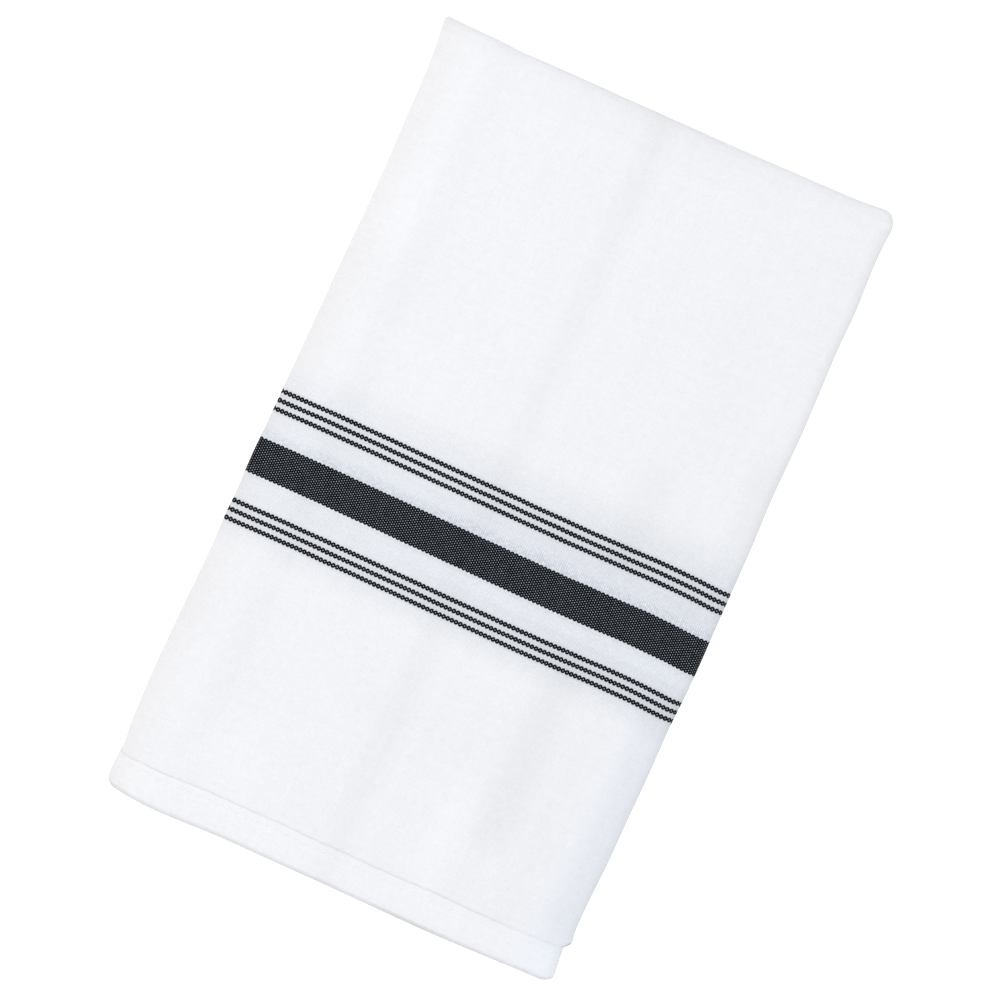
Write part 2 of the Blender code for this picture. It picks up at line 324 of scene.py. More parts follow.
# Mesh density
TOP_COLUMN = 1.05 * MM          # columns on the outermost layer
HIDDEN_COLUMN = 6 * MM          # and on the layers within
UPPER_ROW = 3.0 * MM
LOWER_ROW = 7.5 * MM
TIGHT_FOLD_STEPS = 7
OUTER_FOLD_STEPS = 12
CROSS_FOLD_STEPS = 12
HEM_LINES = (0, 0.07, 0.22, 0.45, 0.9, 2.0, 4.2, 6.4, 7.6, 8.1, 8.5, 8.9, 9.5, 10.0, 10.2, 10.3,
             10.4, 10.5, 10.62, 10.85, 11.3, 11.8, 12.4, 13.2, 14.2, 15.6, 17.5)
COVER_LINES = (0, 0.9, 1.9, 2.9, 4.0, 5.5, 8, 11, 14, 17, 20)

# The flat layout of the whole sheet in a unit square, with most of it for the visible panel
LAYOUT_ALONG = (
    # along the cloth from its visible end hem, place
    (0, 0.012),
    (19, 0.095),
    (76, 0.205),
    (134, 0.555),
    (225, 0.755),
    (255, 0.83),
    (481, 0.985),
)
LAYOUT_FACE = (0.008, 0.11, 0.70, 0.765, 0.86)  # its edges, the visible panel's and its fold's
LAYOUT_BACK = (0.87, 0.975)
LAYOUT_EDGE = 0.004             # width of the strips for the sheet's own edges
LAYOUT_SIDE_EDGES = (0.982, 0.991)  # and where they start
LAYOUT_END_EDGES = (0.003, 0.990)

# Finishes and colours
CLOTH_FINISH = {
    "Roughness": 0.92,
    "Specular IOR Level": 0.05,
    "Sheen Weight": 0.04,
    "Sheen Roughness": 0.5,
}
FLOOR_FINISH = {
    "Base Color": (0.93, 0.93, 0.93, 1.0),
    "Roughness": 0.9,
    "Specular IOR Level": 0.1,
    "Emission Color": (1, 1, 1, 1),
    "Emission Strength": 0.45,
}
WHITE_COTTON = (0.790, 0.7995, 0.824, 1.0)
# the next two are painted shade tints for the right and left margins of the visible panel
COOL_SHADE_COTTON = (0.776, 0.803, 0.860, 1.0)
WARM_SHADE_COTTON = (0.793, 0.791, 0.807, 1.0)
SHADED_COTTON = (0.678, 0.703, 0.752, 1.0)
BLUISH_COTTON = (0.672, 0.703, 0.769, 1.0)
BLACK_COTTON = (0.0038, 0.0066, 0.0104, 1.0)
THREAD_COTTON = (0.86, 0.865, 0.88)

# Floor, light and camera
FLOOR_REACH = 30.0
DOME_LOW = 0.92
DOME_HIGH = 1.12
BOUNCE = 1.10                   # light from the surface round the napkin
LAMP_POWER = 0.6
LAMP_SIZE = 0.4
LAMP_PLACE = (-0.35, 0.1, 0.45)
CAMERA_LEVEL = 0.63             # the level it is set for, as a share of the napkin's height
CAMERA_HEIGHT = 1.2             # its own height over that level
FRAME_WIDTH = 0.283             # and the width that it sees there
CAMERA_SHIFT = 0.27 * MM        # how far it lies from the napkin's middle, towards -X
CAMERA_TURN = math.radians(23.9)


def smooth(share):
    """Ease from 0 to 1."""
    share = np.clip(share, 0.0, 1.0)
    return share * share * (3 - 2 * share)


def along(table, place):
    """Smooth curve through a table's rows of millimetres, at places in metres."""
    places, values = (np.array(column) * MM for column in zip(*table))
    slopes = np.gradient(values, places)
    place = np.clip(place, places[0], places[-1])
    row = np.clip(np.searchsorted(places, place, side="right") - 1, 0, len(places) - 2)
    width = places[row + 1] - places[row]
    share = (place - places[row]) / width
    level = values[row] + (values[row + 1] - values[row]) * smooth(share)
    bow = (1 - share) * slopes[row] - share * slopes[row + 1]
    return level + bow * share * (1 - share) * width


def waves(place, table):
    """Sum of sines over a place in metres; each row is a period and a height in mm, and a phase."""
    total = 0.0
    for period, height, phase in table:
        total = total + height * MM * np.sin(2 * math.pi * place / (period * MM) + phase)
    return total


def stagger(level, upper):
    """How far short of the outline an end hem lies, also between two levels."""
    levels, in_upper, in_lower = zip(*HEM_STAGGER)
    short_above = np.interp(level, levels, in_upper)
    short_below = np.interp(level, levels, in_lower)
    return (short_below + (short_above - short_below) * upper) * MM


def crease_height(x, up):
    """Height of the soft troughs and ridges over a place in the upper half."""
    height = 0.0
    for at_hem, at_fold, rise, half_width, start, end in CREASES:
        centre = (at_hem + (at_fold - at_hem) * up / FOLDED_LENGTH) * MM
        inside = (up / MM - start) / (end - start)
        lengthwise = smooth(3 * inside) * smooth(3 * (1 - inside))
        height = height + rise * MM * smooth(1 - abs(x - centre) / (half_width * MM)) * lengthwise
    return height


def hem_share(distance):
    """1 in a hem, 0 in the cloth beside it, from the distance to the hem's edge."""
    return smooth((HEM_HEIGHT - distance) / HEM_STEP + 0.5)


def ramp_share(distance, ramp):
    """1 in a hem, easing to 0 over the ramp beside it."""
    return smooth((HEM_HEIGHT + HEM_STEP + ramp - distance) / ramp)


def nose_share(distance):
    """Share of the thickness near a hem's rounded outer edge."""
    inside = np.clip(distance / NOSE, 0.0, 1.0)
    return NOSE_FLAT + (1 - NOSE_FLAT) * np.sqrt(inside * (2 - inside))


def seam_pull(distance):
    """How far the sewing pulls one side of a hem in, from the distance to the hem's edge."""
    return SEAM_DEPTH * smooth(1 - abs(distance - SEAM) / SEAM_WIDTH)


def lift(level, x, up):
    """How far a hidden layer lies off the middle of its room, so that the gaps are uneven."""
    if level == LEVELS - 1:
        return 0.0
    phase = GAP_PHASES[level]
    free = 1 - 0.55 * ramp_share(up, END_RAMP)
    bow = (np.sin(x / (23 * MM) + phase) * np.sin(up / (31 * MM) + 1.7 * phase)
           + 0.6 * np.sin(x / (11 * MM) - up / (17 * MM) + 2.3 * phase))
    return GAP_WAVE * bow * free


def stack(from_side_hem, x, up, upper):
    """Each level's middle and thickness, and the half stack's height, from the stack's middle."""
    middles = []
    sheets = []
    floor = GAP / 2
    for level in range(LEVELS):
        room_share = ramp_share(up, END_RAMP)
        sheet_share = hem_share(up)
        if level in SIDE_HEM_LEVELS:
            room_share = np.maximum(room_share, ramp_share(from_side_hem, SIDE_RAMP))
            sheet_share = np.maximum(sheet_share, hem_share(from_side_hem))
        room = ROOM + HEM_ROOM * room_share
        filled = ROOM + HEM_ROOM * sheet_share
        sheet = CLOTH + (HEM_CLOTH - CLOTH) * sheet_share
        middle = floor + filled / 2 + (room - filled) * (1 - upper)
        if level == LEVELS - 1:
            middle = middle + (filled - sheet) / 2
        middles.append(middle + lift(level, x, up))
        sheets.append(sheet)
        floor = floor + room + GAP
    return middles, sheets, floor - GAP


def panel_columns(level, direction):
    """Columns of points over a panel, as (low level, high level, side, share from the left)."""
    near_left = HEM_LINES if level in SIDE_HEM_LEVELS else COVER_LINES
    spacing = HIDDEN_COLUMN
    if level == LEVELS - 1:
        near_left = COVER_LINES[:1]
        spacing = TOP_COLUMN
    shares = [place * MM / FOLDED_WIDTH for place in near_left]
    steps = round((1 - shares[-1]) * FOLDED_WIDTH / spacing)
    shares += list(np.linspace(shares[-1], 1.0, steps + 1)[1:])
    return [(level, level, 0, share) for share in shares[::direction]]


def fold_columns(low, high, side, direction, steps):
    """Columns of points round a fold between two levels; the share runs from low to high."""
    shares = [step / steps for step in range(1, steps)]
    return [(low, high, side, share) for share in shares[::direction]]


def section_columns():
    """All columns of points, in the order in which they lie in the flat cloth."""
    return (panel_columns(1, 1)
            + fold_columns(1, 2, 1, 1, TIGHT_FOLD_STEPS)
            + panel_columns(2, -1)
            + fold_columns(2, 3, -1, 1, TIGHT_FOLD_STEPS)
            + panel_columns(3, 1)
            + fold_columns(0, 3, 1, -1, OUTER_FOLD_STEPS)
            + panel_columns(0, -1))


def run_rows():
    """All rows of points, from end hem to end hem: arrays of up and of the angle round the fold."""
    hem = np.array(HEM_LINES) * MM
    upper = np.arange(hem[-1] + UPPER_ROW, FOLD_AXIS - UPPER_ROW / 3, UPPER_ROW)
    bend = np.linspace(0.0, math.pi, CROSS_FOLD_STEPS + 1)
    lower = np.arange(hem[-1] + LOWER_ROW, FOLD_AXIS - LOWER_ROW / 3, LOWER_ROW)[::-1]
    up = np.concatenate([hem, upper, np.full(len(bend), FOLD_AXIS), lower, hem[::-1]])
    angle = np.concatenate([np.zeros(len(hem) + len(upper)), bend,
                            np.full(len(lower) + len(hem), math.pi)])
    return up, angle


def round_fold(column, centre_x, from_left, up, upper, outwards):
    """One column's points round a fold."""
    low, high, side, share = column
    middles, sheets, height = stack(from_left - SIDE_HEM_INSET, centre_x, up, upper)
    radius = (middles[high] - middles[low]) / 2
    stretch = OUTER_FOLD_STRETCH if high - low > 1 else 1.0
    half = (sheets[high] + sheets[low]) / 4
    reach = outwards * (half - seam_pull(up)) * nose_share(up)
    angle = math.pi * (share - 0.5)
    x = centre_x + side * math.cos(angle) * (radius * stretch + reach)
    offset = (middles[high] + middles[low]) / 2 + math.sin(angle) * (radius + reach)
    level = low + (high - low) * (1 + math.sin(angle)) / 2
    return x, offset, level, height


def on_panel(level, x, from_left, from_edge, up, upper, outwards):
    """One column's points on a panel; from_edge is the distance from a side hem's edge, if any."""
    middles, sheets, height = stack(from_left - SIDE_HEM_INSET, x, up, upper)
    half = sheets[level] / 2
    pull = seam_pull(up)
    end = nose_share(up)
    if level in SIDE_HEM_LEVELS:
        in_hem = np.maximum(hem_share(up), hem_share(from_edge))
        half = (CLOTH + (HEM_CLOTH - CLOTH) * in_hem) / 2
        pull = np.maximum(pull, seam_pull(from_edge))
        end = end * nose_share(from_edge)
    return x, middles[level] + outwards * (half - pull) * end, level, height


def section_points(column, left, right, up, upper, face):
    """One column's points: across, distance from the stack's middle, level, stack's height."""
    low, high, side, share = column
    middles, sheets, _ = stack(0.0, left, up, upper)
    tight_x = left + (middles[3] - middles[2] + sheets[3]) / 2
    middles, sheets, _ = stack(FOLDED_WIDTH, right, up, upper)
    outer_x = right - (middles[3] - middles[0]) / 2 * OUTER_FOLD_STRETCH - sheets[3] / 2
    outwards = face if high in (1, 3) else -face
    if side:
        centre_x = outer_x if side > 0 else tight_x
        return round_fold(column, centre_x, centre_x - left, up, upper, outwards)
    start = left + SIDE_HEM_INSET if low in SIDE_HEM_LEVELS else tight_x
    x = start + (outer_x - start) * share
    return on_panel(low, x, x - left, share * FOLDED_WIDTH, up, upper, outwards)


def folded_points(column, up, angle, face):
    """Places of one column of points of the cloth, on its face side (+1) or its back (-1)."""
    upper = (1 + np.cos(angle)) / 2
    outline_up = up + HALF_STACK * np.sin(angle)
    narrow = LOWER_INSET * (1 - upper)
    left = -FOLDED_WIDTH / 2 - along(LEFT_OUTLINE, outline_up) + narrow
    seen_up = outline_up + hem_shift(FOLDED_WIDTH / 2, up, 3)
    right = FOLDED_WIDTH / 2 + along(RIGHT_OUTLINE, seen_up) - narrow
    x, offset, level, height = section_points(column, left, right, up, upper, face)

    sunk = along(SHOULDER, up) * smooth(1 - (right - x) / SHOULDER_WIDTH)
    offset = offset * (1 + upper * (crease_height(x, up) - sunk) / HALF_STACK)
    if np.min(level) >= 2 and column[:2] != (0, 3):
        offset = offset - DROOP * upper * smooth(1 - (x - left) / DROOP_WIDTH)
    top = smooth(level - 2) * upper
    offset = offset - top * EDGE_DROOP * smooth(1 - up / EDGE_DROOP_WIDTH)
    offset = offset + top * unevenness(x, up)

    hem_y = -FOLDED_LENGTH / 2 - along(HEM_OUTLINE, x) + stagger(level, upper)
    axis_y = FOLD_AXIS - FOLDED_LENGTH / 2 + along(FOLD_OUTLINE, x)
    wavy_up = up + hem_shift(x, up, level)
    y = hem_y + (axis_y - hem_y) * wavy_up / FOLD_AXIS
    y = y + CROSS_FOLD_STRETCH * offset * np.sin(angle)
    return np.stack([x, y, height + offset * np.cos(angle)], axis=-1)


def hem_shift(x, up, level):
    """How far the cloth near a hem's inner edge lies beyond its nominal place."""
    return hem_wander(x, level) * smooth(up / (6 * MM)) * smooth(2.2 - up / (11 * MM))


def hem_wander(x, level):
    """A hem's inner edge isn't quite straight."""
    hidden = waves(x, HIDDEN_HEM_WAVES)
    seen = along(HEM_WANDER, x) + waves(x, SEEN_HEM_WAVES)
    return hidden + (seen - hidden) * np.clip(np.asarray(level) - 2, 0, 1)


def unevenness(x, up):
    """Shallow unevenness of the outermost layer."""
    slow = SLOW_WAVE * (np.sin(x / (6.1 * MM) + 1.3 * np.sin(up / (19 * MM)))
                        * np.sin(up / (8.3 * MM) + 1.1 * np.sin(x / (13 * MM))))
    fine = FINE_WAVE * (np.sin(x / (2.3 * MM) + 2.0 * np.sin(up / (7 * MM)))
                         * np.sin(up / (3.4 * MM) + 2.0 * np.sin(x / (5 * MM))))
    near_hem = smooth(2.4 - up / (9 * MM))
    pucker = PUCKER * np.sin(x / (1.35 * MM) + 1.8 * np.sin(x / (9 * MM))) * near_hem
    return slow + fine + pucker


def distance_run(from_end, angle):
    """Distance along the flat cloth from its visible end hem, given that from the nearer one."""
    total = 2 * FOLD_AXIS + math.pi * HALF_STACK
    at_fold = FOLD_AXIS + angle * HALF_STACK
    return np.where(angle == 0, from_end,
                    np.where(angle < math.pi, at_fold, total - from_end))


def seated(grid):
    """The points, moved to lie over the middle of the solid and on the same surface."""
    cad_low, cad_high = (np.array(corner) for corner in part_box("napkin_cloth"))
    low = grid.min(axis=(0, 1, 2))
    high = grid.max(axis=(0, 1, 2))
    shift = (cad_low + cad_high - low - high) / 2
    shift[2] = cad_low[2] - low[2]
    return grid + shift


def make_cloth(name):
    """The folded sheet, with its points and their flat places, and the span of u on the top."""
    columns = section_columns()
    up, angle = run_rows()
    grid = np.array([[folded_points(column, up, angle, face) for column in columns]
                     for face in (1, -1)])
    middle = grid.mean(axis=0)

    # u is measured along the broad stripe
    stripe_row = int(np.argmin(abs(up - STRIPES_UP) + angle))
    steps = np.linalg.norm(np.diff(middle[:, stripe_row], axis=0), axis=1)
    across = np.concatenate([[0.0], np.cumsum(steps)])
    top = [number for number, (level, _, side, _) in enumerate(columns)
           if side == 0 and level == LEVELS - 1]
    seen = across[top[0]], across[top[-1]]

    # v is the true place along the flat cloth, less the stripes' drift
    on_top = np.clip(across, *seen)
    drift = along(STRIPE_DRIFT, on_top - sum(seen) / 2) - HIDDEN_SLANT * (across - on_top)
    v = distance_run(middle[..., 1] + FOLDED_LENGTH / 2, angle) + drift[:, None]

    borders = [0, top[0] - TIGHT_FOLD_STEPS, top[-1], top[-1] + OUTER_FOLD_STEPS, -1]
    layout = (np.interp(across, across[borders], LAYOUT_FACE),
              np.interp(across, across[[0, -1]], LAYOUT_BACK),
              np.interp(distance_run(up, angle) / MM, *zip(*LAYOUT_ALONG)))
    grid = seated(grid)
    sheet = build_sheet(name, grid, across, v, up, layout)
    return sheet, SimpleNamespace(grid=grid, across=across, up=up, seen=seen)


def flat_layout(face_places, back_places, run_places):
    """Grids of places in the unit square, in the order of the sheet's parts."""
    width = np.array([0.0, LAYOUT_EDGE])[:, None]
    run = run_places[None, :]
    parts = [(face_places[:, None], run), (back_places[:, None], run)]
    parts += [(start + width, run) for start in LAYOUT_SIDE_EDGES]
    parts += [(face_places[None, :], start + width) for start in LAYOUT_END_EDGES]
    return [np.stack(np.broadcast_arrays(*part), axis=-1) for part in parts]


def quads(corners, flip):
    """Four corners of each cell of a grid of numbers or places, turned the other way if told."""
    made = np.stack([corners[:-1, :-1], corners[1:, :-1], corners[1:, 1:], corners[:-1, 1:]],
                    axis=2)
    made = made.reshape(-1, 4, *corners.shape[2:])
    return made[:, ::-1] if flip else made


def build_sheet(name, grid, across, v, up, layout):
    """A mesh from two grids of points, closed along its edges, with its flat coordinates."""
    _, column_count, row_count, _ = grid.shape
    index = np.arange(grid[..., 0].size).reshape(grid.shape[:3])
    parts = (index[0], index[1], index[:, 0, :], index[:, -1, :], index[:, :, 0], index[:, :, -1])
    flips = (False, True, False, True, True, False)
    faces = np.concatenate([quads(part, flip) for part, flip in zip(parts, flips)])
    places = np.concatenate([quads(part, flip)
                             for part, flip in zip(flat_layout(*layout), flips)])
    mesh = bpy.data.meshes.new(name)
    mesh.from_pydata(grid.reshape(-1, 3).tolist(), [], faces.tolist())

    flat_u = np.broadcast_to(across[:, None], (column_count, row_count))
    from_side = np.minimum(flat_u, across[-1] - flat_u)
    from_end = np.broadcast_to(up, (column_count, row_count))
    corners = np.zeros(len(mesh.loops), dtype=np.int32)
    mesh.loops.foreach_get("vertex_index", corners)
    points = corners % (column_count * row_count)
    for layer_name, first, second in (("cloth", flat_u, v), ("edges", from_side, from_end)):
        values = np.stack([first.reshape(-1)[points], second.reshape(-1)[points]], axis=-1)
        add_layer(mesh, layer_name, values)
    add_layer(mesh, "OFBake", places)
    mesh.shade_smooth()
    mesh.validate()
    return in_scene(name, mesh)


def add_layer(mesh, name, values):
    """A layer of flat coordinates, one pair for each corner of each face."""
    layer = mesh.uv_layers.new(name=name)
    layer.data.foreach_set("uv", np.asarray(values, dtype=np.float32).reshape(-1))


def in_scene(name, data):
    """A new object of the scene."""
    made = bpy.data.objects.new(name, data)
    bpy.context.scene.collection.objects.link(made)
    return made


class Nodes:
    """Adds nodes to a new material and joins them to its shader."""

    def __init__(self, name, constants):
        self.material = bpy.data.materials.new(name)
        self.material.use_nodes = True
        self.tree = self.material.node_tree
        self.shader = self.tree.nodes["Principled BSDF"]
        for socket, value in constants.items():
            self.shader.inputs[socket].default_value = value

    def feed(self, socket, value):
        """Give a socket a link or a constant."""
        if isinstance(value, bpy.types.NodeSocket):
            self.tree.links.new(value, socket)
        else:
            socket.default_value = value

    def add(self, kind, inputs=(), **settings):
        """A node of a kind, with its inputs by name or number."""
        made = self.tree.nodes.new(kind)
        for key, value in settings.items():
            setattr(made, key, value)
        for key, value in dict(inputs).items():
            self.feed(made.inputs[key], value)
        return made

    def math(self, operation, *values):
        """One sum on numbers."""
        made = self.add("ShaderNodeMath", operation=operation)
        for socket, value in zip(made.inputs, values):
            self.feed(socket, value)
        return made.outputs[0]

    def plus(self, *values):
        """Sum of several numbers."""
        total = values[0]
        for value in values[1:]:
            total = self.math("ADD", total, value)
        return total

    def times(self, *values):
        """Product of several numbers."""
        total = values[0]
        for value in values[1:]:
            total = self.math("MULTIPLY", total, value)
        return total

    def less(self, value, other):
        """A number less another."""
        return self.math("SUBTRACT", value, other)

    def size(self, value):
        """A number without its sign."""
        return self.math("ABSOLUTE", value)

    def apart(self, value, centre):
        """Distance of a number from a constant."""
        return self.size(self.plus(value, -centre))

    def swing(self, noise, amount):
        """A noise of 0 to 1, as a number round 0."""
        return self.times(self.plus(noise, -0.5), amount)

    def ease(self, value, start, end, low=0.0, high=1.0):
        """Smooth step from low to high as a value goes from start to end."""
        made = self.add("ShaderNodeMapRange", {0: value, 1: start, 2: end, 3: low, 4: high},
                        interpolation_type="SMOOTHSTEP")
        return made.outputs[0]

    def noise(self, x, y, detail=2.0, roughness=0.5):
        """Cloudy noise from 0 to 1 over two numbers."""
        place = self.add("ShaderNodeCombineXYZ", {0: x, 1: y}).outputs[0]
        made = self.add("ShaderNodeTexNoise", {"Vector": place, "Scale": 1.0, "Detail": detail,
                                               "Roughness": roughness}, noise_dimensions="2D")
        return made.outputs[0]

    def chance(self, number):
        """A chance number from 0 to 1 for each whole number."""
        made = self.add("ShaderNodeTexWhiteNoise", {"W": number}, noise_dimensions="1D")
        return made.outputs[0]

    def mix(self, share, first, second):
        """Blend of two colours."""
        made = self.add("ShaderNodeMix", {0: share, 6: first, 7: second}, data_type="RGBA")
        return made.outputs[2]

    def scaled(self, colour, share):
        """A colour times a number."""
        made = self.add("ShaderNodeVectorMath", operation="SCALE")
        self.feed(made.inputs[0], colour)
        self.feed(made.inputs["Scale"], share)
        return made.outputs[0]

    def bump(self, height, strength, distance):
        """Relief on the shader's surface."""
        made = self.add("ShaderNodeBump", {"Height": height, "Strength": strength,
                                           "Distance": distance})
        self.feed(self.shader.inputs["Normal"], made.outputs[0])


def woven_cotton(name, seen):
    """Plain weave of white cotton with black stripes, in the flat cloth's coordinates."""
    n = Nodes(name, CLOTH_FINISH)
    w = SimpleNamespace(seen_from=seen[0], seen_to=seen[1], middle=sum(seen) / 2)
    cloth = n.add("ShaderNodeUVMap", uv_map="cloth").outputs[0]
    edges = n.add("ShaderNodeUVMap", uv_map="edges").outputs[0]
    w.u, w.v, _ = n.add("ShaderNodeSeparateXYZ", {0: cloth}).outputs
    w.from_side, w.from_end, _ = n.add("ShaderNodeSeparateXYZ", {0: edges}).outputs
    w.beyond = n.plus(w.v, -STRIPES_UP)
    place_threads(n, w)
    place_noises(n, w)
    place_dimness(n, w)
    # the tone holds painted shade and light: soft places, thread crowns and hollows, hem edges and
    # lines, needle holes and the corner where the hem's end tucks in
    tone = n.times(n.plus(painted_soft_shading(n, w), thread_tone_and_shade(n, w)), hem_shade_and_tone(n, w))
    colour = n.mix(black_share(n, w), white_colour(n, w), BLACK_COTTON)
    n.feed(n.shader.inputs["Base Color"], n.scaled(colour, tone))
    n.bump(weave_relief(n, w), WEAVE_BUMP, WEAVE_DEPTH)
    return n.material


def cloud(n, w, per_metre, detail=2.0, roughness=0.5, shift=(0.0, 0.0)):
    """Cloudy noise over the flat cloth."""
    return n.noise(n.plus(n.times(w.u, per_metre), shift[0]),
                   n.plus(n.times(w.v, per_metre), shift[1]), detail, roughness)


def place_threads(n, w):
    """Where a point lies among the threads, which wander a little.

    i and j number the nearest cross thread and stripe thread, and a_off and b_off are the point's
    distances from them, in threads. The thin stripes' threads are thicker than the others.
    """
    sway = cloud(n, w, per_metre=90)
    sway_along = cloud(n, w, per_metre=110, shift=(0.0, 7.0))
    a = n.plus(n.times(w.u, 1 / CROSS_THREAD), n.swing(sway, CROSS_SWAY), FIRST_CROSS_THREAD)
    b = n.plus(n.times(w.beyond, 1 / STRIPE_THREAD), n.swing(sway_along, STRIPE_SWAY),
               MIDDLE_THREAD)
    side = n.math("SIGN", n.plus(b, -MIDDLE_THREAD))
    spread = n.apart(b, MIDDLE_THREAD)
    w.among_thin = n.ease(n.apart(spread, THIN_STRIPES[1]), *AMONG_THIN)
    for place in THIN_STRIPES:
        off = n.plus(spread, -place)
        b = n.plus(b, n.times(side, off, n.ease(n.size(off), *THIN_REACH), -THIN_BOLD))
    w.i = n.math("ROUND", a)
    w.j = n.math("ROUND", b)
    w.a_off = n.less(a, w.i)
    w.b_off = n.less(b, w.j)
    w.a_size = n.size(w.a_off)
    w.b_size = n.size(w.b_off)

    # Where a cross thread lies on top, the stripe threads above and below bulge towards it
    w.cross_on_top = n.math("FLOORED_MODULO", n.plus(w.i, w.j), 2.0)
    covered = n.math("LESS_THAN", w.a_size, w.b_size)
    w.thread = n.plus(w.j, n.times(w.cross_on_top, covered, n.math("SIGN", w.b_off)))


def place_noises(n, w):
    """Unevenness of the threads and of the cloth, each from 0 to 1."""
    w.slub = n.noise(n.times(w.u, 420), n.times(w.j, 0.61), detail=1.0)
    w.cross_slub = n.noise(n.times(w.v, 260), n.times(w.i, 0.73), detail=1.0)
    w.patch = cloud(n, w, per_metre=45, detail=3.0)
    w.mottle = cloud(n, w, per_metre=430, detail=3.0, roughness=0.6, shift=(3.0, 0.0))
    w.lint = cloud(n, w, per_metre=2600)
    w.stripe_chance = n.chance(w.thread)
    w.cross_chance = n.chance(w.i)
    crossing = n.add("ShaderNodeCombineXYZ", {0: w.i, 1: w.j}).outputs[0]
    w.speckle = n.add("ShaderNodeTexWhiteNoise", {"Vector": crossing},
                      noise_dimensions="2D").outputs[0]


def place_dimness(n, w):
    """Where the layers beneath dim or lighten the white cloth round the stripes."""
    w.dimmed = n.times(n.ease(w.beyond, *DIMMED_BELOW), n.ease(w.beyond, *DIMMED_ABOVE),
                       n.ease(w.u, w.seen_from, w.seen_to, DIMMED_LEFT, 1.0))
    w.by_band = n.ease(n.size(w.beyond), *BY_BAND)
    uneven = n.plus(w.beyond, n.swing(w.patch, ABOVE_BAND_WAVE))
    w.above_band = n.times(n.ease(uneven, *ABOVE_BAND), n.ease(w.beyond, 0, BAND),
                           n.ease(w.u, w.seen_from, w.seen_from + 60 * MM, ABOVE_BAND_LEFT, 1.0))
    w.below_band = n.times(n.ease(n.apart(w.beyond, BELOW_BAND_LINE), *BELOW_BAND),
                           n.ease(w.u, w.seen_from + 30 * MM, w.middle))


def black_share(n, w):
    """1 on black threads, less where a white cross thread's crown shows between them."""
    from_middle = n.apart(w.thread, MIDDLE_THREAD)
    black = n.math("LESS_THAN", from_middle, BROAD_STRIPE)
    for place in THIN_STRIPES:
        black = n.math("MAXIMUM", black, n.math("COMPARE", from_middle, place, THIN_STRIPE))
    reach = n.math("SQRT", n.plus(n.math("POWER", n.times(w.a_off, CROWN_SHAPE[0]), 2.0),
                                  n.math("POWER", n.times(w.b_off, CROWN_SHAPE[1]), 2.0)))
    crown_size = n.plus(CROWN_SIZE, n.swing(w.slub, CROWN_VARIES),
                        n.swing(w.cross_slub, CROWN_VARIES), n.times(w.among_thin, CROWN_MORE))
    crown = n.times(w.cross_on_top, n.ease(n.less(reach, crown_size), CROWN_EDGE, -CROWN_EDGE),
                    n.ease(w.slub, *MIDDLE_OF_NOISE, *CROWN_WHITE))
    return n.times(black, n.less(1.0, crown))


def white_colour(n, w):
    """The white cotton's colour, with painted shade tints at its margins, bluer at the right and
    warmer and greyer at the left, and dimmer by the stripes.
    """
    cool_shade = n.times(n.ease(n.plus(w.u, -w.seen_to), *COOL_SHADE_ACROSS), n.ease(w.v, *COOL_SHADE_UP))
    warm_shade = n.ease(n.plus(w.u, -w.seen_from), *WARM_SHADE_ACROSS)
    white = n.mix(warm_shade, n.mix(cool_shade, WHITE_COTTON, COOL_SHADE_COTTON), WARM_SHADE_COTTON)
    return n.mix(w.above_band, n.mix(w.dimmed, white, SHADED_COTTON), BLUISH_COTTON)


def painted_soft_shading(n, w):
    """1, plus painted soft shade and light on the visible panel, and painted shade along the end
    hems' outer edges.
    """
    tone = 1.0
    for across, half_width, start, end, amount in PAINTED_SOFT_SHADING:
        beside = n.apart(w.u, w.middle + across * MM)
        tone = n.plus(tone, n.times(n.ease(beside, half_width * MM, 0.0),
                                    n.ease(w.v, start * MM, (start + TONE_RAMP) * MM),
                                    n.ease(w.v, end * MM, (end - TONE_RAMP) * MM), amount))
    # painted shade along the end hems' outer edges
    edge = n.ease(n.apart(w.u, w.middle + EDGE_SHADE_BEND), *EDGE_SHADE_BEND_ZONE, *EDGE_SHADE_TONES)
    return n.plus(tone, n.ease(w.from_end, *EDGE_SHADE_ZONE, 0.0, edge))


def thread_tone_and_shade(n, w):
    """Painted shading of the threads' crowns and of the hollows between them, the threads' own
    uneven tones, and the tones of the zones round the stripes, round 0.
    """
    hollow_shade = n.times(n.math("POWER", n.times(w.a_size, 2.0), 3.0),
                     n.math("POWER", n.times(w.b_size, 2.0), 2.0))
    uneven = [n.swing(getattr(w, kind), amount) for kind, amount in THREAD_TONES]
    dimmed = n.plus(n.times(hollow_shade, DIMMED_HOLLOW_SHADE), n.swing(w.speckle, DIMMED_SPECKLE),
                    n.ease(w.a_size, *DIMMED_THREAD_SHADING))
    above_band = n.plus(ABOVE_BAND_TONE, n.swing(w.speckle, ABOVE_BAND_SPECKLE),
                        n.ease(w.a_size, *ABOVE_BAND_THREAD_SHADING))
    by_band = n.plus(BY_BAND_TONE, n.swing(w.speckle, BY_BAND_SPECKLE))
    return n.plus(*uneven, n.times(hollow_shade, HOLLOW_SHADE_TONE), n.times(w.dimmed, dimmed),
                  n.times(w.above_band, above_band), n.times(w.by_band, by_band),
                  n.times(w.below_band, BELOW_BAND_TONE), n.times(w.among_thin, AMONG_THIN_TONE))


